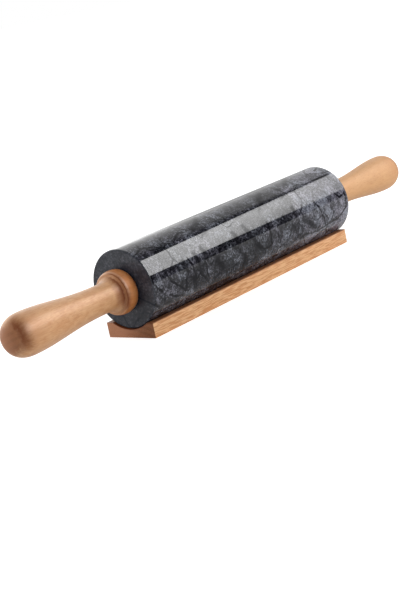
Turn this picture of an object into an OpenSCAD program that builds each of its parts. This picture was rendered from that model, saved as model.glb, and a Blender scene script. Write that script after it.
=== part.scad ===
// Marble rolling pin lying in its wooden cradle. All sizes are in millimetres.
// The pin lies along X, and the cradle stands on the plane z = 0.
// The origin is on that plane, under the middle of the pin.
// Left means -X and right means +X.
//
// The stone barrel turns on a steel axle. Each end of the barrel holds a nylon bush, and each
// wooden handle holds a brass insert that is fixed on the stepped end of the axle.

/* [Barrel] */
// Length of the marble barrel
barrel_l = 254; // [200:1:320]
// Diameter of the marble barrel
barrel_d = 60; // [50:0.5:75]
// Radius of the barrel's end edges
barrel_edge_r = 1; // [0.5:0.1:4]
// Diameter of the hole through the barrel
bore_d = 18; // [16:0.5:22]
// Diameter of the recess for a bush flange
recess_d = 27; // [26:0.5:34]

/* [Bushes] */
// Length of a bush inside the hole
bush_l = 22; // [10:1:40]
// Thickness of a bush flange
flange_t = 2.2; // [1.5:0.1:4]
// Length of the lead-in cone on a bush
bush_lead = 1.2; // [0.4:0.1:2]

/* [Axle] */
// Diameter of the axle between the handles
axle_d = 10; // [9:0.5:12]
// Diameter of the axle's stepped ends
tip_d = 8; // [6:0.5:8.5]
// Length of each stepped end
tip_l = 28; // [15:1:40]
// Chamfer on each end of the axle
tip_chamfer = 0.8; // [0.2:0.1:1.5]
// Width of the relief groove beside each shoulder
relief_w = 1.5; // [0.8:0.1:3]
// Depth of the relief groove beside each shoulder
relief_depth = 0.5; // [0.2:0.1:1]

/* [Washers] */
// Outer diameter of a washer
washer_d = 22; // [18:0.5:24]
// Thickness of a washer
washer_t = 1.5; // [1.2:0.1:2.5]

/* [Inserts] */
// Wall thickness of a brass insert
insert_wall = 2.5; // [1.8:0.1:3]
// Depth of the blind end past the axle's tip
insert_spare = 2; // [0.5:0.5:6]
// Number of holding grooves round an insert
insert_grooves = 5; // [1:1:8]
// Width of a holding groove
insert_groove_w = 1.6; // [0.8:0.1:2]
// Depth of a holding groove
insert_groove_depth = 0.6; // [0.2:0.1:0.8]

/* [Handles] */
// Length of a handle
handle_l = 115; // [90:1:150]
// Visible gap between a handle and the marble
handle_gap = 0.7; // [0.5:0.1:1]
// Length of the collar bead
collar_l = 12; // [8:0.5:18]
// Largest diameter of the collar bead
collar_d = 33.6; // [31:0.2:38]
// Diameter of the collar bead at its two rims
collar_rim_d = 29.2; // [27:0.2:30.8]
// Diameter of the neck
neck_d = 21.8; // [19:0.2:25]
// Length of the cove between collar and neck
cove_l = 8; // [4:0.5:10]
// Straight length of the neck past the cove
neck_l = 0.5; // [0.5:0.5:6]
// Largest diameter of the grip
grip_d = 31.5; // [27:0.5:36]
// Length of the rounded end past the widest place
dome_l = 18; // [12:0.5:30]
// How late the grip swells, where 1 is a plain wave
swell_delay = 1.24; // [1:0.01:1.6]
// Squareness of the rounded end, where 2 is an ellipse
dome_fullness = 2.45; // [2:0.05:3.5]

/* [Cradle] */
// Length of the cradle
cradle_l = 252; // [190:1:310]
// Width of the cradle
cradle_w = 46.5; // [42:0.5:56]
// Height of the cradle
cradle_h = 11.5; // [9:0.5:20]
// Depth of the groove that the pin lies in
groove_depth = 5.2; // [3:0.1:6]
// Chamfer on the cradle's edges
cradle_chamfer = 0.8; // [0.3:0.1:1.5]
// How far the cradle lies from the pin's middle
cradle_shift = -2.5; // [-8:0.5:8]

/* [Clearances] */
// Gap between the barrel and the groove
groove_gap = 0.3; // [0.2:0.05:1]
// Radial clearance between the axle and a bush
running_gap = 0.08; // [0.02:0.01:0.1]
// Radial gap for glue round bushes, inserts and axle ends
glue_gap = 0.05; // [0.02:0.01:0.1]
// Play along the axle between a washer and a bush
end_play = 0.3; // [0.2:0.05:0.4]
// Radial clearance between a washer and the axle
washer_gap = 0.15; // [0.05:0.05:0.4]

/* [Hidden] */
$fn = 96;
over = 1;                   // how far a cut runs past the face it opens
arc_steps = 12;             // steps along a bead or a cove
swell_steps = 22;           // steps along the swelling grip
dome_steps = 12;            // steps round the handle's end

axis_z = cradle_h - groove_depth + groove_gap + barrel_d / 2;
handle_x = barrel_l / 2 + handle_gap;      // inner face of the right handle

// Between marble and handle: bush flange, play, washer. The flange lies below the marble's face
// by as much as play and washer take beyond the visible gap.
flange_sunk = washer_t + end_play - handle_gap;
recess_depth = flange_sunk + flange_t;
flange_d = recess_d - 2 * glue_gap;
bush_d = bore_d - 2 * glue_gap;
bush_bore_d = axle_d + 2 * running_gap;
washer_hole_d = axle_d + 2 * washer_gap;

insert_bore_d = tip_d + 2 * glue_gap;
insert_d = insert_bore_d + 2 * insert_wall;
insert_l = tip_l + insert_spare;
socket_d = insert_d + 2 * glue_gap;

cove_depth = (collar_rim_d - neck_d) / 2;
swell_from = collar_l + cove_l + neck_l;
swell_to = handle_l - dome_l;

// The handle's outline, as [radius, distance from its inner face], in four stretches.
function bead_points() =
    let (rise = (collar_d - collar_rim_d) / 2,
         half = collar_l / 2)
    [for (i = [0 : arc_steps])
        let (a = 90 * (2 * i / arc_steps - 1))
        [collar_rim_d / 2 + rise * cos(a), half + half * sin(a)]];

function cove_points() =
    [for (i = [1 : arc_steps])
        let (a = 90 * i / arc_steps)
        [collar_rim_d / 2 - cove_depth * sin(a), collar_l + cove_l * (1 - cos(a))]];

function swell_points() =
    [for (i = [0 : swell_steps])
        let (t = i / swell_steps)
        [neck_d / 2 + (grip_d - neck_d) / 4 * (1 - cos(180 * pow(t, swell_delay))),
         swell_from + (swell_to - swell_from) * t]];

function dome_points() =
    [for (i = [1 : dome_steps])
        let (a = 90 * i / dome_steps)
        [grip_d / 2 * pow(cos(a), 2 / dome_fullness),
         swell_to + dome_l * pow(sin(a), 2 / dome_fullness)]];

// Puts a piece that is drawn along +Z from z = 0 on the pin's axis, pointing to +X from x
module on_axis(x) {
    translate([x, 0, axis_z]) rotate([0, 90, 0]) children();
}

module mirrored() {
    mirror([1, 0, 0]) children();
}

// A rectangle about the origin with its four corners cut off
module chamfered_rectangle(a, b, cut) {
    polygon([[-a / 2 + cut, -b / 2], [a / 2 - cut, -b / 2], [a / 2, -b / 2 + cut], [a / 2, b / 2 - cut],
             [a / 2 - cut, b / 2], [-a / 2 + cut, b / 2], [-a / 2, b / 2 - cut], [-a / 2, -b / 2 + cut]]);
}

// Half of the barrel's long section, from the axis outwards, with true arcs at its ends
module barrel_section() {
    r = barrel_d / 2;
    square([r - barrel_edge_r, barrel_l]);
    translate([0, barrel_edge_r]) square([r, barrel_l - 2 * barrel_edge_r]);
    for (y = [barrel_edge_r, barrel_l - barrel_edge_r])
        translate([r - barrel_edge_r, y]) circle(r = barrel_edge_r);
}

// A bush with its sleeve along +Z from the flange's inner side, and its flange below z = 0
module bush_shape() {
    difference() {
        union() {
            cylinder(h = bush_l - bush_lead, d = bush_d);
            translate([0, 0, bush_l - bush_lead])
                cylinder(h = bush_lead, d1 = bush_d, d2 = bush_d - bush_lead);
            translate([0, 0, -flange_t]) cylinder(h = flange_t, d = flange_d);
        }
        translate([0, 0, -flange_t - over])
            cylinder(h = bush_l + flange_t + 2 * over, d = bush_bore_d);
    }
}

module washer_shape() {
    difference() {
        cylinder(h = washer_t, d = washer_d);
        translate([0, 0, -over]) cylinder(h = washer_t + 2 * over, d = washer_hole_d);
    }
}

// One half of the axle along +Z from the pin's middle
module half_axle_shape() {
    tip_end = handle_x + tip_l;
    cylinder(h = handle_x, d = axle_d);
    cylinder(h = handle_x + relief_w, d = tip_d - 2 * relief_depth);
    translate([0, 0, handle_x + relief_w])
        cylinder(h = tip_l - relief_w - tip_chamfer, d = tip_d);
    translate([0, 0, tip_end - tip_chamfer])
        cylinder(h = tip_chamfer, d1 = tip_d, d2 = tip_d - 2 * tip_chamfer);
}

// An insert along +Z from its open end. Grooves round it hold the glue.
module insert_shape() {
    pitch = insert_l / (insert_grooves + 1);
    difference() {
        cylinder(h = insert_l, d = insert_d);
        translate([0, 0, -over]) cylinder(h = insert_l + 2 * over, d = insert_bore_d);
        for (i = [1 : insert_grooves])
            translate([0, 0, i * pitch - insert_groove_w / 2])
                difference() {
                    cylinder(h = insert_groove_w, d = insert_d + over);
                    translate([0, 0, -over])
                        cylinder(h = insert_groove_w + 2 * over, d = insert_d - 2 * insert_groove_depth);
                }
    }
}

// A turned handle along +Z from its inner face: collar bead, cove, neck, grip and rounded end
module handle_shape() {
    difference() {
        rotate_extrude()
            polygon(concat([[0, 0]], bead_points(), cove_points(), swell_points(), dome_points()));
        translate([0, 0, -over]) cylinder(h = insert_l + over, d = socket_d);
    }
}

module cradle() {
    color("burlywood")
        difference() {
            translate([cradle_shift, 0, cradle_h / 2]) intersection() {
                rotate([90, 0, 90]) linear_extrude(height = cradle_l, center = true)
                    chamfered_rectangle(cradle_w, cradle_h, cradle_chamfer);
                rotate([90, 0, 0]) linear_extrude(height = cradle_w, center = true)
                    chamfered_rectangle(cradle_l, cradle_h, cradle_chamfer);
                linear_extrude(height = cradle_h, center = true)
                    chamfered_rectangle(cradle_l, cradle_w, cradle_chamfer);
            }
            on_axis(cradle_shift - cradle_l / 2 - over)
                cylinder(h = cradle_l + 2 * over, d = barrel_d + 2 * groove_gap);
        }
}

module barrel() {
    color("dimgray")
        on_axis(-barrel_l / 2) difference() {
            rotate_extrude() barrel_section();
            translate([0, 0, -over]) cylinder(h = barrel_l + 2 * over, d = bore_d);
            for (z = [-over, barrel_l - recess_depth])
                translate([0, 0, z]) cylinder(h = recess_depth + over, d = recess_d);
        }
}

module right_bush() {
    color("ivory")
        on_axis(barrel_l / 2 - recess_depth) mirror([0, 0, 1]) bush_shape();
}

module left_bush() {
    mirrored() right_bush();
}

module axle() {
    color("silver") {
        on_axis(0) half_axle_shape();
        mirrored() on_axis(0) half_axle_shape();
    }
}

module right_washer() {
    color("gainsboro")
        on_axis(handle_x - washer_t) washer_shape();
}

module left_washer() {
    mirrored() right_washer();
}

module right_insert() {
    color("goldenrod")
        on_axis(handle_x) insert_shape();
}

module left_insert() {
    mirrored() right_insert();
}

module right_handle() {
    color("tan")
        on_axis(handle_x) handle_shape();
}

module left_handle() {
    mirrored() right_handle();
}

cradle();
barrel();
left_bush();
right_bush();
axle();
left_washer();
right_washer();
left_insert();
right_insert();
left_handle();
right_handle();
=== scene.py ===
# Marble rolling pin lying in its grooved beech cradle, on a white studio table.
import math

import bpy
from mathutils import Matrix, Vector


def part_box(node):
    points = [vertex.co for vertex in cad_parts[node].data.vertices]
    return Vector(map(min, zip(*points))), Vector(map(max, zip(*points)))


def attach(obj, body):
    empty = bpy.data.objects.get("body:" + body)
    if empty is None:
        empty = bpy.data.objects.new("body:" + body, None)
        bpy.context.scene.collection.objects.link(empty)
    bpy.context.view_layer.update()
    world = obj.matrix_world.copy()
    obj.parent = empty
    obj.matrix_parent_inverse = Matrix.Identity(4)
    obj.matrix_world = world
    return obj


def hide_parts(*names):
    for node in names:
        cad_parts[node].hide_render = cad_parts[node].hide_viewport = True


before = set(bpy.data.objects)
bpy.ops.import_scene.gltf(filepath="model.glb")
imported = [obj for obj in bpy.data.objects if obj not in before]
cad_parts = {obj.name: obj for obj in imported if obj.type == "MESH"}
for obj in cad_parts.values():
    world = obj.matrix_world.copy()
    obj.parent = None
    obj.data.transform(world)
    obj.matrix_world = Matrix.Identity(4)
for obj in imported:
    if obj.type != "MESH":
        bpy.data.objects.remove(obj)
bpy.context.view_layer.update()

MM = 0.001


# Places and sizes read from the parts in model.glb

barrel_low, barrel_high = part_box("barrel")
cradle_low, cradle_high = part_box("cradle")
handle_low, handle_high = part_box("right_handle")
bush_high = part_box("right_bush")[1]
insert_low, insert_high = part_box("right_insert")

axis_z = (barrel_low.z + barrel_high.z) / 2
barrel_r = (barrel_high.z - barrel_low.z) / 2
barrel_end = barrel_high.x
handle_start = handle_low.x
handle_length = handle_high.x - handle_low.x

# Sizes that the boxes don't give, in metres, as the pieces were turned

rim_r = 1.0 * MM
bore_r = 9.0 * MM
recess_r = 13.5 * MM
flange = 2.2 * MM
recess_depth = barrel_end - bush_high.x + flange
collar_length = 12.0 * MM
collar_r = 16.8 * MM
collar_rim_r = 14.6 * MM
neck_r = 10.9 * MM
cove_length = 8.0 * MM
neck_length = 0.5 * MM
grip_r = 15.75 * MM
dome_length = 18.0 * MM
swell_delay = 1.24
dome_fullness = 2.45
glue_gap = 0.05 * MM
groove_gap = 0.3 * MM
groove_r = barrel_r + groove_gap


# Modelling, as by hand

def nothing_selected():
    if bpy.context.object and bpy.context.object.mode != "OBJECT":
        bpy.ops.object.mode_set(mode="OBJECT")
    bpy.ops.object.select_all(action="DESELECT")


def only(piece):
    nothing_selected()
    piece.select_set(True)
    bpy.context.view_layer.objects.active = piece


def named(piece, name):
    piece.name = name
    piece.data.name = name
    return piece


def apply_modifiers(piece):
    only(piece)
    for modifier in list(piece.modifiers):
        bpy.ops.object.modifier_apply(modifier=modifier.name)


def spun(name, outline, steps=160, smooth_below=35):
    """Draws half of a long section, point by point, and spins it round the pin's axis.

    The outline is a list of (distance along X, radius)."""
    nothing_selected()
    bpy.ops.mesh.primitive_plane_add(size=1, location=(0, 0, 0))
    piece = named(bpy.context.object, name)
    bpy.ops.object.mode_set(mode="EDIT")
    bpy.ops.mesh.select_all(action="SELECT")
    bpy.ops.mesh.merge(type="CENTER")
    points = [Vector((x, 0, axis_z + r)) for x, r in outline]
    bpy.ops.transform.translate(value=points[0])
    for start, end in zip(points, points[1:]):
        bpy.ops.mesh.extrude_vertices_move(TRANSFORM_OT_translate={"value": end - start})
    bpy.ops.mesh.select_all(action="SELECT")
    bpy.ops.mesh.spin(steps=steps, angle=math.tau, center=(0, 0, axis_z), axis=(1, 0, 0))
    bpy.ops.mesh.select_all(action="SELECT")
    bpy.ops.mesh.remove_doubles(threshold=0.002 * MM)
    bpy.ops.mesh.normals_make_consistent(inside=False)
    bpy.ops.object.mode_set(mode="OBJECT")
    bpy.ops.object.shade_smooth_by_angle(angle=math.radians(smooth_below))
    return piece


def mirrored(piece, name):
    """A copy of a piece for the left side, with its own mesh."""
    only(piece)
    bpy.ops.object.duplicate(linked=False)
    copy = named(bpy.context.object, name)
    bpy.ops.object.mode_set(mode="EDIT")
    bpy.ops.mesh.select_all(action="SELECT")
    bpy.ops.transform.resize(value=(-1, 1, 1), center_override=(0, 0, 0))
    bpy.ops.mesh.normals_make_consistent(inside=False)
    bpy.ops.object.mode_set(mode="OBJECT")
    return copy


def oval(centre, half_length, half_height, start, end, steps):
    """Points on an oval in the (X, radius) plane, with angles in degrees from +X."""
    turns = [math.radians(start + (end - start) * i / steps) for i in range(steps + 1)]
    middle_x, middle_r = centre
    return [(middle_x + half_length * math.cos(t), middle_r + half_height * math.sin(t)) for t in turns]


def barrel_outline():
    """Round the stone: bore, recess, face, rim, side and back. A short step beside each rim keeps the
    side's shading straight."""
    hold = 0.6 * MM
    mouth = 0.4 * MM
    half = [(0, bore_r), (barrel_end - recess_depth, bore_r), (barrel_end - recess_depth, recess_r),
            (barrel_end - hold, recess_r), (barrel_end, recess_r + mouth),
            (barrel_end, barrel_r - rim_r - hold)]
    half += oval((barrel_end - rim_r, barrel_r - rim_r), rim_r, rim_r, 0, 90, 10)
    half += [(barrel_end - rim_r - hold, barrel_r), (0, barrel_r)]
    other = [(-x, r) for x, r in reversed(half[:-1])]
    return half + other


def handle_outline():
    """From the socket's floor out round the collar bead, cove, neck, grip and rounded end."""
    half = collar_length / 2
    swell_from = collar_length + cove_length + neck_length
    swell_to = handle_length - dome_length
    socket_r = (insert_high.z - insert_low.z) / 2 + glue_gap
    socket_end = insert_high.x - handle_start
    mouth = 0.4 * MM
    flat_r = collar_rim_r - 0.5 * MM
    points = [(socket_end, 0), (socket_end, socket_r), (mouth, socket_r), (0, socket_r + mouth),
              (0, flat_r)]
    points += oval((half, collar_rim_r), half, collar_r - collar_rim_r, 178, 2, 26)
    points += oval((collar_length + cove_length, collar_rim_r), cove_length, collar_rim_r - neck_r,
                   184, 270, 16)
    swell_steps = 56
    for i in range(swell_steps + 1):
        t = i / swell_steps
        wave = 0.5 - 0.5 * math.cos(math.pi * t ** swell_delay)
        points.append((swell_from + (swell_to - swell_from) * t, neck_r + (grip_r - neck_r) * wave))
    dome_steps = 26
    for i in range(1, dome_steps + 1):
        turn = math.pi / 2 * i / dome_steps
        reach_x = max(math.sin(turn), 0) ** (2 / dome_fullness)
        reach_r = max(math.cos(turn), 0) ** (2 / dome_fullness)
        points.append((swell_to + dome_length * reach_x, grip_r * reach_r))
    points[-1] = (handle_length, 0)
    return [(handle_start + x, r) for x, r in points]


def make_cradle():
    """A block with its long groove scooped out, and every edge eased."""
    nothing_selected()
    size = cradle_high - cradle_low
    centre = (cradle_high + cradle_low) / 2
    past_the_ends = 1.2
    bpy.ops.mesh.primitive_cube_add(size=1, location=centre)
    block = named(bpy.context.object, "cradle_block")
    bpy.ops.transform.resize(value=size)
    bpy.ops.object.transform_apply(location=True, rotation=True, scale=True)
    bpy.ops.mesh.primitive_cylinder_add(vertices=512, radius=groove_r, depth=size.x * past_the_ends,
                                        location=(centre.x, 0, axis_z), rotation=(0, math.pi / 2, 0))
    cutter = bpy.context.object
    bpy.ops.object.transform_apply(location=True, rotation=True, scale=True)
    groove = block.modifiers.new("groove", "BOOLEAN")
    groove.operation = "DIFFERENCE"
    groove.object = cutter
    groove.solver = "EXACT"
    apply_modifiers(block)
    only(cutter)
    bpy.ops.object.delete()
    only(block)
    ease = block.modifiers.new("eased_edges", "BEVEL")
    ease.width = 0.7 * MM
    ease.segments = 4
    ease.limit_method = "ANGLE"
    ease.angle_limit = math.radians(30)
    apply_modifiers(block)
    bpy.ops.object.shade_smooth_by_angle(angle=math.radians(35))
    return block


# Node helpers. Each takes plain values or other nodes' outputs.

def node(tree, kind, sockets=None, **settings):
    """Adds a node. Sockets takes a plain value or another node's output for each named input."""
    made = tree.nodes.new(kind)
    for key, value in settings.items():
        setattr(made, key, value)
    for key, value in (sockets or {}).items():
        socket = made.inputs[key]
        if isinstance(value, bpy.types.NodeSocket):
            tree.links.new(value, socket)
        else:
            socket.default_value = value
    return made


def new_finish(name):
    """A material with an empty Principled shader. Returns the material, its tree and the shader."""
    material = bpy.data.materials.new(name)
    material.use_nodes = True
    tree = material.node_tree
    return material, tree, tree.nodes["Principled BSDF"]


def math_node(tree, operation, first, second=0.0):
    return node(tree, "ShaderNodeMath", {0: first, 1: second}, operation=operation).outputs[0]


def plus(tree, first, second):
    return math_node(tree, "ADD", first, second)


def minus(tree, first, second):
    return math_node(tree, "SUBTRACT", first, second)


def times(tree, first, second):
    return math_node(tree, "MULTIPLY", first, second)


def larger(tree, first, second):
    return math_node(tree, "MAXIMUM", first, second)


def weighed(tree, layers):
    """The sum of some (layer, share) pairs, each layer times its share."""
    total = None
    for layer, share in layers:
        part = times(tree, layer, share)
        total = part if total is None else plus(tree, total, part)
    return total


def vector_node(tree, operation, first, second=(0, 0, 0), output="Vector"):
    return node(tree, "ShaderNodeVectorMath", {0: first, 1: second},
                operation=operation).outputs[output]


def scaled(tree, vector, factor):
    return node(tree, "ShaderNodeVectorMath", {0: vector, "Scale": factor},
                operation="SCALE").outputs[0]


def split(tree, vector):
    """The X, Y and Z of a vector."""
    return node(tree, "ShaderNodeSeparateXYZ", {0: vector}).outputs


def blend_value(tree, amount, first, second):
    return node(tree, "ShaderNodeMix", {0: amount, 2: first, 3: second}).outputs[0]


def blend_colour(tree, how, amount, first, second):
    return node(tree, "ShaderNodeMix", {0: amount, 6: first, 7: second}, data_type="RGBA",
                blend_type=how).outputs[2]


def grey(value):
    return (value, value, value, 1.0)


def between(tree, value, low, high, to_low=0.0, to_high=1.0):
    """Eases value from low..high to to_low..to_high, held at both ends."""
    return node(tree, "ShaderNodeMapRange", {"Value": value, "From Min": low, "From Max": high,
                                             "To Min": to_low, "To Max": to_high},
                interpolation_type="SMOOTHSTEP").outputs[0]


def object_place(tree):
    return node(tree, "ShaderNodeTexCoord").outputs["Object"]


def stretched(tree, place, scale, shift=(0, 0, 0)):
    return node(tree, "ShaderNodeMapping", {"Vector": place, "Scale": scale,
                                            "Location": shift}).outputs[0]


def noise(tree, place, scale, detail=4.0, rough=0.5, output="Fac"):
    return node(tree, "ShaderNodeTexNoise", {"Vector": place, "Scale": scale, "Detail": detail,
                                             "Roughness": rough}).outputs[output]


def grained(tree, place, scale, detail, rough):
    """A noise with its own scale along X, Y and Z."""
    return noise(tree, stretched(tree, place, scale), 1.0, detail, rough)


def shaken(tree, place, scale, detail, rough):
    """A soft noise in each of X, Y and Z, from -0.5 to 0.5."""
    return vector_node(tree, "SUBTRACT", noise(tree, place, scale, detail, rough, "Color"),
                       (0.5, 0.5, 0.5))


def pushed(tree, place, scale, reach, detail=3.0):
    """The place moved about by a soft noise, by up to reach metres."""
    moved = scaled(tree, shaken(tree, place, scale, detail, 0.55), reach * 2)
    return vector_node(tree, "ADD", place, moved)


def crack_lines(tree, place, scale, width):
    """1 on the walls of a cell pattern and 0 away from them. Width is a share of a cell."""
    walls = node(tree, "ShaderNodeTexVoronoi", {"Vector": place, "Scale": scale},
                 feature="DISTANCE_TO_EDGE").outputs["Distance"]
    return between(tree, walls, 0.0, width, 1.0, 0.0)


# Finishes

# Veins that show in the photograph, drawn as points on the barrel's side: millimetres along X,
# and degrees round from the top towards -Y

thin_veins = [
    [(-111, 71), (-108, 90), (-96, 107), (-88, 116)],
    [(-91, 113), (-91, 98), (-88, 94)],
    [(-84, 70), (-81, 85), (-80, 102)],
    [(-75, 97), (-68, 110), (-60, 127)],
    [(-67, 84), (-66, 102), (-64, 113)],
    [(-126, 78), (-123, 91), (-119, 98)],
    [(-110, 108), (-105, 114), (-95, 120)],
    [(-127, 114), (-118, 124)],
    [(-81, 106), (-78, 102), (-74, 98)],
    [(15, 70), (15, 102), (16, 106), (6, 107)],
    [(37, 70), (36, 83)],
    [(80, 70), (85, 82), (86, 94), (93, 117), (111, 114), (122, 102), (124, 76)],
    [(91, 97), (95, 107)],
    [(55, 118), (63, 116), (83, 121), (93, 117)],
    [(111, 72), (115, 81), (124, 78)],
    [(74, 31), (87, 38), (122, 37)],
    [(-84, 38), (-76, 30), (-68, 28)],
    [(115, 18), (125, 10)],
]
broad_veins = [
    [(-90, 73), (-87, 90), (-81, 106), (-80, 115)],
    [(-75, 68), (-74, 81)],
    [(-65, 66), (-64, 82)],
    [(-12, 62), (-8, 82), (-3, 95), (7, 113)],
    [(-26, 64), (-25, 80)],
    [(-31, 84), (-21, 102), (-17, 112)],
    [(-54, 91), (-47, 105)],
    [(61, 91), (75, 108), (82, 114)],
    [(52, 66), (53, 79)],
    [(69, 21), (84, 0)],
    [(25, 32), (38, 16)],
    [(-62, 34), (-48, 24), (-40, 8)],
]


def nearest(tree, flat, lines):
    """How far, in millimetres, a place on the unrolled barrel is from the nearest drawn line."""
    found = None
    for line in lines:
        dots = [Vector((x, math.radians(turn) * barrel_r / MM, 0)) for x, turn in line]
        for start, end in zip(dots, dots[1:]):
            step = end - start
            past = vector_node(tree, "SUBTRACT", flat, start)
            share = vector_node(tree, "DOT_PRODUCT", past, step / step.length_squared, "Value")
            held = larger(tree, math_node(tree, "MINIMUM", share, 1.0), 0.0)
            away = vector_node(tree, "DISTANCE", past, scaled(tree, step, held), "Value")
            found = away if found is None else math_node(tree, "MINIMUM", found, away)
    return found


def unrolled(tree, place):
    """The barrel's side laid flat, in millimetres: X along the pin and Y round it from the top towards
    -Y, shaken a little so that drawn lines come out ragged."""
    parts = split(tree, place)
    turn = math_node(tree, "ARCTAN2", times(tree, parts["Y"], -1.0), minus(tree, parts["Z"], axis_z))
    flat = node(tree, "ShaderNodeCombineXYZ", {0: times(tree, parts["X"], 1 / MM),
                                               1: times(tree, turn, barrel_r / MM)}).outputs[0]
    shake = vector_node(tree, "MULTIPLY", shaken(tree, place, 190, 4, 0.6), (4.0, 4.0, 0.0))
    return vector_node(tree, "ADD", flat, shake)


def marble_ground(tree, place, along):
    """The stone without its veins, greyer towards +X as painted light. Returns its colour, its small
    clouds and its grains."""
    near_black = (0.003, 0.003, 0.005, 1)
    dark_grey = (0.043, 0.043, 0.054, 1)
    pale_grey = (0.275, 0.270, 0.330, 1)
    big = between(tree, noise(tree, pushed(tree, place, 30, 12 * MM), 26, 4, 0.55), 0.40, 0.60)
    small = between(tree, noise(tree, pushed(tree, place, 80, 5 * MM), 95, 7, 0.70), 0.40, 0.60)
    grain = between(tree, noise(tree, place, 560, 4, 0.75), 0.41, 0.59)
    # Painted light: the stone turns paler grey, with less grain, towards the far end (+X).
    far_end_painted_light = between(tree, along, 30 * MM, 100 * MM)
    grain_share = between(tree, far_end_painted_light, 0.0, 1.0, 0.38, 0.24)
    tone = weighed(tree, ((big, 0.18), (small, 0.30), (grain, grain_share), (far_end_painted_light, 0.36)))
    steps = node(tree, "ShaderNodeValToRGB", {"Fac": tone})
    darkest, palest = steps.color_ramp.elements
    darkest.position = 0.12
    darkest.color = near_black
    palest.position = 0.95
    palest.color = pale_grey
    steps.color_ramp.elements.new(0.50).color = dark_grey
    colour = steps.outputs["Color"]
    speckle = between(tree, noise(tree, place, 700, 2, 0.6), 0.42, 0.51, 0.75, 0.0)
    colour = blend_colour(tree, "MULTIPLY", speckle, colour, (0.30, 0.30, 0.32, 1))
    greenish = between(tree, noise(tree, place, 48, 2, 0.5), 0.44, 0.60, 0.0, 0.5)
    colour = blend_colour(tree, "MULTIPLY", greenish, colour, (0.86, 1.0, 0.96, 1))
    return colour, small, grain


def marble_veins(tree, place):
    """How strong the dark veins are at a place, from 0 to 1: the drawn ones, and finer ones along the
    walls of two cell patterns, which come and go."""
    flat = unrolled(tree, place)
    ragged = between(tree, noise(tree, place, 210, 3, 0.6), 0.30, 0.55, 0.55, 1.0)
    thin = times(tree, between(tree, nearest(tree, flat, thin_veins), 0.60, 1.30, 1.0, 0.0), ragged)
    broad = times(tree, between(tree, nearest(tree, flat, broad_veins), 0.8, 4.2, 0.95, 0.0), ragged)
    patches = between(tree, noise(tree, place, 30, 3, 0.5), 0.42, 0.56)
    cracks = times(tree, crack_lines(tree, pushed(tree, place, 55, 7 * MM, 4), 38, 0.052), patches)
    fine_patches = between(tree, noise(tree, place, 41, 3, 0.5), 0.46, 0.62)
    fine = times(tree, crack_lines(tree, pushed(tree, place, 120, 3 * MM, 4), 95, 0.05), fine_patches)
    return larger(tree, larger(tree, thin, broad),
                  larger(tree, times(tree, cracks, 0.9), times(tree, fine, 0.45)))


def marble_finish():
    """Black stone with grey clouds, fine grains, dark veins and a few pale hairlines. The side is
    polished, less so in the veins, and the two ends are only honed."""
    material, tree, shader = new_finish("polished_black_marble")
    place = object_place(tree)
    along = split(tree, place)["X"]
    colour, small, grain = marble_ground(tree, place, along)
    dark = marble_veins(tree, place)
    colour = blend_colour(tree, "MIX", times(tree, dark, 0.94), colour, (0.005, 0.005, 0.007, 1))
    pale_place = pushed(tree, stretched(tree, place, (1, 1, 1), (0.31, 0.12, 0.07)), 45, 9 * MM, 4)
    pale_patches = between(tree, noise(tree, place, 33, 2, 0.5), 0.58, 0.70)
    pale = times(tree, crack_lines(tree, pale_place, 26, 0.014), pale_patches)
    colour = blend_colour(tree, "MIX", times(tree, pale, 0.35), colour, (0.30, 0.30, 0.32, 1))

    from_middle = math_node(tree, "ABSOLUTE", along)
    honed = between(tree, from_middle, barrel_end - 0.9 * MM, barrel_end - 0.3 * MM)
    colour = blend_colour(tree, "MIX", times(tree, honed, 0.6), colour, (0.016, 0.021, 0.034, 1))
    tree.links.new(colour, shader.inputs["Base Color"])
    smear = between(tree, noise(tree, place, 35, 4, 0.6), 0.3, 0.75, 0.035, 0.075)
    tree.links.new(blend_value(tree, honed, smear, 0.42), shader.inputs["Roughness"])
    bump = node(tree, "ShaderNodeBump", {"Height": dark, "Strength": 0.12, "Distance": 0.02 * MM},
                invert=True)
    tree.links.new(bump.outputs[0], shader.inputs["Normal"])
    shader.inputs["IOR"].default_value = 1.5
    shine = weighed(tree, ((grain, 0.5), (small, 0.5), (dark, -0.35)))
    shine = times(tree, between(tree, shine, 0.0, 1.0, 0.45, 0.55),
                  between(tree, dark, 0.0, 1.0, 1.0, 0.55))
    tree.links.new(shine, shader.inputs["Specular IOR Level"])
    return material


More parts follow.
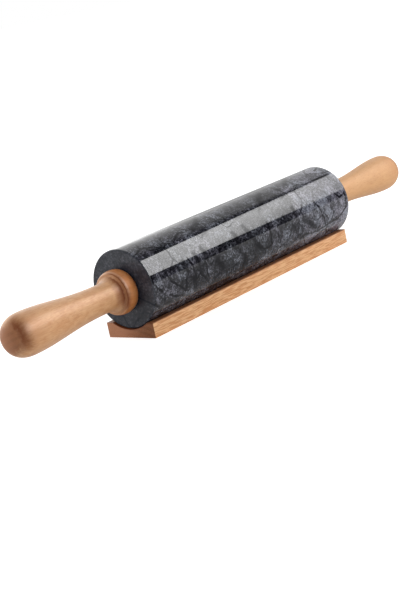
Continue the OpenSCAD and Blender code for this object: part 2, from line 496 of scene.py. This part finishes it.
def browned_collar_and_painted_light(tree, colour, place, parts, clouds):
    """A handle's collar, browner than the rest, with painted shade in the cove beside it at the front
    and a painted highlight as a paler crescent along its upper rim. Returns the colour and how brown the
    wood is."""
    collar_end = handle_start + collar_length
    hollow_place = collar_end + 2.0 * MM
    from_middle = math_node(tree, "ABSOLUTE", parts["X"])
    ragged = plus(tree, from_middle, times(tree, noise(tree, place, 160, 3, 0.6), 3 * MM))
    browned = times(tree, between(tree, ragged, collar_end - 1.0 * MM, collar_end + 2.0 * MM, 0.85, 0.0),
                    between(tree, clouds, 0.30, 0.60, 0.70, 1.0))
    colour = blend_colour(tree, "MIX", browned, colour, (0.43, 0.140, 0.028, 1))
    # Painted shade: a darker patch in the cove on the front (-Y) side of the collar.
    from_hollow = math_node(tree, "ABSOLUTE", minus(tree, from_middle, hollow_place))
    front = between(tree, parts["Y"], -13 * MM, -5 * MM, 1.0, 0.0)
    painted_cove_shade = times(tree, between(tree, from_hollow, 2.6 * MM, 6.0 * MM, 0.66, 0.0), front)
    colour = blend_colour(tree, "MIX", painted_cove_shade, colour, (0.24, 0.068, 0.008, 1))
    # Painted highlight: a paler crescent along the upper rim of the collar.
    inner = between(tree, from_middle, collar_end - 3.4 * MM, collar_end - 1.6 * MM)
    outer = between(tree, from_middle, collar_end - 0.9 * MM, collar_end - 0.3 * MM, 1.0, 0.0)
    upper = between(tree, parts["Z"], axis_z - 4 * MM, axis_z + 8 * MM)
    painted_rim_highlight = times(tree, times(tree, inner, outer), upper)
    colour = blend_colour(tree, "MIX", times(tree, painted_rim_highlight, 0.75), colour, (0.66, 0.36, 0.20, 1))
    return colour, browned


def shaded_under_barrel(tree, colour, parts, top):
    """The cradle's top and groove, darkened with painted shade where the barrel overhangs them.
    Returns the colour and how dark the wood is.
    """
    on_top = between(tree, parts["Z"], top - 0.9 * MM, top - 0.2 * MM)
    height = minus(tree, parts["Z"], axis_z)
    squares = plus(tree, times(tree, parts["Y"], parts["Y"]), times(tree, height, height))
    from_axis = math_node(tree, "SQRT", squares)
    in_groove = between(tree, from_axis, groove_r + 0.1 * MM, groove_r + 1.0 * MM, 1.0, 0.0)
    # Painted shade on the top and in the groove, under the barrel's overhang.
    painted_top_shade = larger(tree, times(tree, on_top, 0.85), in_groove)
    return blend_colour(tree, "MULTIPLY", painted_top_shade, colour, (0.24, 0.13, 0.09, 1)), painted_top_shade


def end_patch_and_painted_shade(tree, colour, place, from_middle, turned, mottle):
    """A dark patch on the upper front of a handle's rounded end, partly the darker grain where the
    surface turns across it and partly painted shade and dark reflection, inside a fainter painted shade.
    Returns the colour and the patch."""
    patch_from, patch_peak, patch_to = 0.05, 0.68, 0.93
    lean = math.radians(62)
    band = times(tree, between(tree, turned, patch_from, patch_peak),
                 between(tree, turned, patch_peak, patch_to, 1.0, 0.0))
    from_axis = vector_node(tree, "SUBTRACT", place, (0, 0, axis_z))
    towards = vector_node(tree, "DOT_PRODUCT", from_axis, (0, -math.sin(lean), math.cos(lean)), "Value")
    # Painted shade and dark reflection: the patch and its fainter tint lie only on the upper front of
    # the end.
    patch = times(tree, band, between(tree, towards, 2 * MM, 11 * MM, 0.0, 0.85))
    end = handle_high.x
    tint = times(tree, between(tree, towards, 4 * MM, 15 * MM),
                 between(tree, from_middle, end - 34 * MM, end - 8 * MM, 0.0, 0.45))
    tint = times(tree, tint, between(tree, mottle, 0.35, 0.60, 0.60, 1.0))
    colour = blend_colour(tree, "MIX", tint, colour, (0.36, 0.150, 0.055, 1))
    return blend_colour(tree, "MIX", patch, colour, (0.135, 0.030, 0.007, 1)), patch


def end_grain_and_painted_light(tree, parts, rings):
    """The colour of wood cut across its grain: dark growth rings, with painted light making it lighter
    towards +Y.
    """
    colour = blend_colour(tree, "MIX", between(tree, rings, 0.2, 0.9), (0.165, 0.055, 0.024, 1),
                          (0.122, 0.038, 0.016, 1))
    # Painted light: end grain is lighter towards +Y, the back.
    return blend_colour(tree, "MIX", between(tree, parts["Y"], -16 * MM, 16 * MM), colour,
                        (0.360, 0.160, 0.092, 1))


def beech_finish(name, heart, calm=0.0, is_handle=False, shaded_top=None):
    """Beech with fine fibres, short dark flecks and faint growth rings round a heart line that lies
    beside the piece. The grain runs along X, and where the surface cuts across it the wood is darker,
    redder and duller. Calm softens the grain. Handle wood has a browner collar with painted shade and a
    painted highlight beside it, painted shade on its rounded end, and towards +X it is painted paler and
    plainer, as painted light, and made duller. Shaded top is the height of a top that gets painted
    shade."""
    material, tree, shader = new_finish(name)
    place = object_place(tree)
    parts = split(tree, place)
    from_middle = math_node(tree, "ABSOLUTE", parts["X"])
    wavy = pushed(tree, stretched(tree, place, (0.35, 1, 1)), 22, 2.5 * MM)
    fibres = grained(tree, wavy, (250, 1500, 1500), 2, 0.5)
    streaks = grained(tree, wavy, (16, 190, 190), 3, 0.5)
    clouds = grained(tree, place, (45, 130, 130), 3, 0.55)
    dashes = grained(tree, wavy, (700, 1000, 1000), 3, 0.6)
    mottle = grained(tree, wavy, (420, 300, 300), 3, 0.6)
    rings = node(tree, "ShaderNodeTexWave",
                 {"Vector": stretched(tree, wavy, (0.3, 1, 1), heart), "Scale": 70.0,
                  "Distortion": 2.0, "Detail": 3.0, "Detail Scale": 1.4, "Detail Roughness": 0.55},
                 wave_type="RINGS", rings_direction="X", wave_profile="SIN").outputs["Fac"]
    shares = ((streaks, 0.10, 0.05), (fibres, 0.84, 0.12), (dashes, 0.0, 0.20), (clouds, 0.06, 0.25),
              (mottle, 0.0, 0.38))
    mixed = weighed(tree, [(layer, plain + (calmed - plain) * calm) for layer, plain, calmed in shares])
    spread = 0.050 + 0.170 * calm
    shade = 0.94 - 0.11 * calm
    tone = between(tree, mixed, 0.50 - spread, 0.50 + spread)
    # Painted light: handles are painted paler and plainer, and made duller, towards +X, on the far
    # handle.
    pale = between(tree, parts["X"], 0.0, 100 * MM, 0.0, 0.62 if is_handle else 0.0)
    tone = blend_value(tree, pale, tone, 0.92)
    colour = blend_colour(tree, "MIX", tone, (0.56 * shade, 0.250 * shade, 0.090 * shade, 1),
                          (0.75 * shade, 0.435 * shade, 0.218 * shade, 1))
    ring_lines = between(tree, rings, 0.55, 1.0, 0.0, 0.16 * (1 - calm))
    colour = blend_colour(tree, "MULTIPLY", ring_lines, colour, (0.84, 0.72, 0.60, 1))
    spots = node(tree, "ShaderNodeTexVoronoi", {"Vector": stretched(tree, wavy, (560, 1000, 1000)),
                                                "Scale": 1.0, "Randomness": 1.0}).outputs["Distance"]
    flecks = between(tree, spots, 0.10, 0.34, 0.12 + 0.30 * calm, 0.0)
    colour = blend_colour(tree, "MIX", flecks, colour, (0.40, 0.17, 0.065, 1))

    facing = split(tree, node(tree, "ShaderNodeTexCoord").outputs["Normal"])
    frayed = minus(tree, grained(tree, place, (30, 420, 420), 3, 0.6), 0.5)
    turned = plus(tree, math_node(tree, "ABSOLUTE", facing["X"]), times(tree, frayed, 0.35))
    across = between(tree, turned, 0.50, 0.95, 0.0, 0.86)
    dull = pale
    if is_handle:
        # Browner collar, with painted shade in the cove and a painted highlight on its rim
        colour, browned = browned_collar_and_painted_light(tree, colour, place, parts, clouds)
        collar_end = handle_start + collar_length
        past_collar = between(tree, from_middle, collar_end + 6 * MM, collar_end + 20 * MM, 0.42, 1.0)
        across = times(tree, across, past_collar)
        dull = larger(tree, dull, times(tree, browned, 0.6))
    # Painted shade on the cradle's top and groove, under the barrel
    if shaded_top:
        colour, painted_top_shade = shaded_under_barrel(tree, colour, parts, shaded_top)
        dull = larger(tree, dull, times(tree, painted_top_shade, 0.9))
    dull = larger(tree, dull, across)
    # End grain colour, with painted light towards +Y
    colour = blend_colour(tree, "MIX", across, colour, end_grain_and_painted_light(tree, parts, rings))
    if is_handle:
        # Painted shade and dark reflection on the upper front of the rounded end
        colour, patch = end_patch_and_painted_shade(tree, colour, place, from_middle, turned, mottle)
        dull = larger(tree, dull, patch)
    tree.links.new(colour, shader.inputs["Base Color"])
    relief = minus(tree, fibres, times(tree, flecks, 0.8))
    bump = node(tree, "ShaderNodeBump", {"Height": relief, "Strength": 0.2, "Distance": 0.04 * MM})
    tree.links.new(bump.outputs[0], shader.inputs["Normal"])
    tree.links.new(between(tree, fibres, 0.3, 0.7, 0.55, 0.45), shader.inputs["Roughness"])
    tree.links.new(between(tree, dull, 0.0, 1.0, 0.40, 0.15), shader.inputs["Specular IOR Level"])
    lacquer = 0.22 + 0.20 * calm
    tree.links.new(between(tree, dull, 0.0, 1.0, lacquer, 0.04), shader.inputs["Coat Weight"])
    shader.inputs["Coat Roughness"].default_value = 0.20 + 0.14 * calm
    return material


def turned_metal(name, scale, dark, pale, smooth, rough):
    """Metal with faint rings left by the lathe, between two colours and two roughnesses."""
    material, tree, shader = new_finish(name)
    marks = grained(tree, object_place(tree), scale, 3, 0.5)
    tree.links.new(blend_colour(tree, "MIX", marks, dark, pale), shader.inputs["Base Color"])
    tree.links.new(between(tree, marks, 0.3, 0.7, smooth, rough), shader.inputs["Roughness"])
    shader.inputs["Metallic"].default_value = 1.0
    return material


def nylon_finish():
    """Natural nylon, milky and slightly mottled."""
    material, tree, shader = new_finish("natural_nylon")
    mottle = noise(tree, object_place(tree), 260, 4, 0.6)
    tone = blend_colour(tree, "MIX", mottle, (0.70, 0.68, 0.60, 1), (0.82, 0.80, 0.73, 1))
    tree.links.new(tone, shader.inputs["Base Color"])
    tree.links.new(between(tree, mottle, 0.3, 0.7, 0.42, 0.56), shader.inputs["Roughness"])
    return material


def dress(piece, material, body, node_name):
    """Gives a piece its finish in a material slot and its body, and hides the CAD node it stands in for.
    """
    piece.data.materials.clear()
    piece.data.materials.append(material)
    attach(piece, body)
    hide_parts(node_name)


# Camera at the photograph's viewpoint, found by fitting the pin's outline

def make_camera():
    azimuth, elevation, roll = (math.radians(a) for a in (-47.70, 13.34, -11.95))
    distance = 1.0362
    aim = Vector((-0.0482, 0.0, 0.0028))
    back = Vector((math.sin(azimuth) * math.cos(elevation), -math.cos(azimuth) * math.cos(elevation),
                   math.sin(elevation)))
    bpy.ops.object.camera_add(location=aim + back * distance)
    camera = bpy.context.object
    camera.name = "camera"
    turn = (-back).to_track_quat("-Z", "Y").to_matrix() @ Matrix.Rotation(roll, 3, "Z")
    camera.rotation_euler = turn.to_euler()
    camera.data.sensor_width = 36
    camera.data.lens = 80.38
    camera.data.clip_start = 0.01
    camera.data.clip_end = 60
    bpy.context.scene.camera = camera


# Studio: white table and surround, one hard-edged softbox, a soft ceiling and a dark wall in front

studio_front = -0.9
studio_back = 4.0


def seen_by(obj, diffuse=True, glossy=True, shadow=False):
    """Hides a lamp or a card from the camera, and says which other rays meet it."""
    obj.visible_camera = False
    obj.visible_diffuse = diffuse
    obj.visible_glossy = glossy
    obj.visible_transmission = glossy
    obj.visible_shadow = shadow


def card(name, corners, material):
    """A flat sheet through four corners, with its face towards the pin."""
    nothing_selected()
    bpy.ops.mesh.primitive_plane_add(size=2)
    sheet = named(bpy.context.object, name)
    order = ((-1, -1), (1, -1), (1, 1), (-1, 1))
    for vertex in sheet.data.vertices:
        index = order.index((round(vertex.co.x), round(vertex.co.y)))
        vertex.co = corners[index]
    sheet.data.materials.append(material)
    return sheet


def glow(name, strength):
    """A white glowing material. Returns the material, its tree and the node that glows."""
    material = bpy.data.materials.new(name)
    material.use_nodes = True
    tree = material.node_tree
    tree.nodes.clear()
    light = node(tree, "ShaderNodeEmission", {"Color": grey(1.0), "Strength": strength})
    output = node(tree, "ShaderNodeOutputMaterial")
    tree.links.new(light.outputs[0], output.inputs["Surface"])
    return material, tree, light


def make_strip_softbox():
    """The softbox whose hard-edged reflection lies along the barrel. It dims towards its far side."""
    material, tree, light = glow("softbox_front", 1.0)
    side = split(tree, object_place(tree))["X"]
    dimmed = between(tree, side, 0.75, 1.30, 6.2, 2.65)
    near_edge = between(tree, side, -0.1, 0.35, 4.0, 0.0)
    tree.links.new(plus(tree, dimmed, near_edge), light.inputs["Strength"])
    bottom, top = 0.373, 1.000
    softbox = card("strip_softbox", [(-0.5, studio_front, bottom), (1.673, studio_front, bottom),
                                     (1.678, 0.101, top), (-0.1, studio_front, top)], material)
    seen_by(softbox, diffuse=False)


def direction(tree):
    """X, Y and Z of the way from the pin's middle to a place on a card, as a vector of length 1."""
    return split(tree, vector_node(tree, "NORMALIZE", object_place(tree)))


def make_ceiling():
    """A soft diffuser over and behind the pin, and a white wall at the back. The diffuser starts just
    in front of the zenith and grows brighter towards the back. Both dim towards the right."""
    left, right, back_height = -2.5, 8.0, 1.2
    front, front_height = -0.3, 1.8
    material, tree, light = glow("ceiling_diffuser", 1.0)
    way = direction(tree)
    lean = math_node(tree, "ARCTAN2", way["Y"], way["Z"])
    start = times(tree, between(tree, lean, math.radians(-9), math.radians(9)),
                  between(tree, way["X"], 0.66, 0.80, 0.42, 0.90))
    rise = node(tree, "ShaderNodeMapRange", {"Value": lean, "From Min": math.radians(5),
                                             "From Max": math.radians(75), "To Min": 0.0,
                                             "To Max": 1.35}).outputs[0]
    falling = between(tree, way["X"], 0.66, 0.80, 1.0, 0.0)
    tree.links.new(plus(tree, start, times(tree, rise, falling)), light.inputs["Strength"])
    ceiling = card("ceiling", [(left, front, front_height), (right, front, front_height),
                               (right, studio_back, back_height), (left, studio_back, back_height)],
                   material)

    white, tree, light = glow("back_wall", 1.0)
    tree.links.new(between(tree, direction(tree)["X"], 0.67, 0.74, 2.4, 0.68), light.inputs["Strength"])
    back_wall = card("back_wall", [(left, studio_back, 0), (right, studio_back, 0),
                                   (right, studio_back, back_height), (left, studio_back, back_height)],
                     white)
    for sheet in (ceiling, back_wall):
        seen_by(sheet)


def make_fill_lamps():
    """Soft lamps in front, at the back left and beside the far handle, too soft to show in the
    polish."""
    for name, place, width, height, power in (("front_fill", (1.1, -1.4, 0.34), 1.8, 0.5, 10.6),
                                              ("back_left_fill", (-1.4, 0.9, 0.9), 1.0, 0.8, 6.3),
                                              ("far_handle_fill", (0.62, -0.46, 0.10), 0.4, 0.18, 1.0)):
        bpy.ops.object.light_add(type="AREA", location=place)
        lamp = bpy.context.object
        lamp.name = name
        lamp.rotation_euler = (Vector((0, 0, 0.03)) - lamp.location).to_track_quat("-Z", "Y").to_euler()
        lamp.data.shape = "RECTANGLE"
        lamp.data.size = width
        lamp.data.size_y = height
        lamp.data.energy = power
        lamp.data.color = (1.0, 0.98, 0.95)
        seen_by(lamp, shadow=True, glossy=False)


def make_dark_wall():
    """The unlit sides of the studio, seen only as reflections in the polish."""
    dark = glow("unlit_studio", 0.015)[0]
    dim = glow("dim_studio", 0.20)[0]
    side, side_top = -2.4, 1.5
    side_wall = card("side_wall", [(side, studio_front, 0), (side, studio_back, 0),
                                   (side, studio_back, side_top), (side, studio_front, side_top)], dim)
    left, right, top, roof_end = -4.0, 9.0, 3.0, 0.55
    wall = card("dark_wall", [(left, studio_front, 0), (right, studio_front, 0),
                              (right, studio_front, top), (left, studio_front, top)], dark)
    roof = card("dark_roof", [(left, studio_front, top), (right, studio_front, top),
                              (right, roof_end, top), (left, roof_end, top)], dark)
    for sheet in (side_wall, wall, roof):
        seen_by(sheet, diffuse=False)


def make_floor():
    """A white table. To the camera it is white and darkened only by shadow. In the polish it is
    painted darker, most of all close to the pin, as painted shade."""
    nothing_selected()
    bpy.ops.mesh.primitive_plane_add(size=40, location=(0, 0, 0))
    floor = named(bpy.context.object, "floor")
    material = bpy.data.materials.new("white_table")
    material.use_nodes = True
    tree = material.node_tree
    tree.nodes.clear()
    path = node(tree, "ShaderNodeLightPath").outputs
    place = object_place(tree)
    reach = vector_node(tree, "LENGTH", place, output="Value")
    plain = between(tree, reach, 0.35, 1.2, 0.58, 1.0)
    # Painted shade: to reflected rays the table gets darker paint and a glow that fades out close to the
    # pin.
    close_by = times(tree, between(tree, reach, 0.06, 0.35, 0.23, 0.55),
                     between(tree, split(tree, place)["X"], 0.0, 0.6, 1.0, 0.6))
    close_by = times(tree, close_by, between(tree, reach, 0.024, 0.062, 0.0, 1.0))
    mirrored_white = plus(tree, close_by, between(tree, reach, 0.35, 2.0, 0.0, 0.45))
    reflected = larger(tree, path["Is Glossy Ray"], path["Is Transmission Ray"])
    paint = blend_colour(tree, "MIX", reflected, grey(0.78), grey(0.36))
    table = node(tree, "ShaderNodeBsdfDiffuse", {"Color": paint})
    strength = larger(tree, times(tree, path["Is Camera Ray"], plain),
                      times(tree, reflected, mirrored_white))
    lift = node(tree, "ShaderNodeEmission", {"Color": grey(1.0), "Strength": strength})
    total = node(tree, "ShaderNodeAddShader", {0: table.outputs[0], 1: lift.outputs[0]})
    output = node(tree, "ShaderNodeOutputMaterial")
    tree.links.new(total.outputs[0], output.inputs["Surface"])
    floor.data.materials.append(material)


def make_world():
    """White to the camera and in reflections, and a dim even fill for everything else."""
    world = bpy.data.worlds.new("white_surround")
    bpy.context.scene.world = world
    world.use_nodes = True
    tree = world.node_tree
    tree.nodes.clear()
    path = node(tree, "ShaderNodeLightPath").outputs
    reflected = larger(tree, path["Is Glossy Ray"], path["Is Transmission Ray"])
    shown = larger(tree, path["Is Camera Ray"], reflected)
    strength = between(tree, shown, 0.0, 1.0, 0.88, 1.0)
    surround = node(tree, "ShaderNodeBackground", {"Color": grey(1.0), "Strength": strength})
    output = node(tree, "ShaderNodeOutputWorld")
    tree.links.new(surround.outputs[0], output.inputs["Surface"])


make_camera()
bpy.context.scene.view_settings.view_transform = "Standard"

marble = marble_finish()
handle_beech = beech_finish("turned_beech", (0.0, 0.055, 0.075), calm=0.8, is_handle=True)
# The cradle's top gets painted shade under the barrel
cradle_beech = beech_finish("planed_beech", (0.0, -0.030, 0.140), shaded_top=cradle_high.z)
steel = turned_metal("drawn_steel", (2600, 30, 30), (0.50, 0.50, 0.52, 1), (0.66, 0.66, 0.68, 1),
                     0.22, 0.38)
brass = turned_metal("turned_brass", (3000, 40, 40), (0.62, 0.44, 0.18, 1), (0.80, 0.62, 0.30, 1),
                     0.20, 0.36)
nylon = nylon_finish()

barrel = spun("barrel_stone", barrel_outline(), steps=256)
dress(barrel, marble, "barrel", "barrel")

right_handle = spun("right_handle_wood", handle_outline(), steps=128)
left_handle = mirrored(right_handle, "left_handle_wood")
dress(right_handle, handle_beech, "handles", "right_handle")
dress(left_handle, handle_beech, "handles", "left_handle")

cradle = make_cradle()
dress(cradle, cradle_beech, "cradle", "cradle")

for name, material in (("axle", steel), ("left_washer", steel), ("right_washer", steel),
                       ("left_insert", brass), ("right_insert", brass),
                       ("left_bush", nylon), ("right_bush", nylon)):
    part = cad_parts[name]
    part.data.materials.clear()
    part.data.materials.append(material)

make_floor()
make_strip_softbox()
make_ceiling()
make_fill_lamps()
make_dark_wall()
make_world()
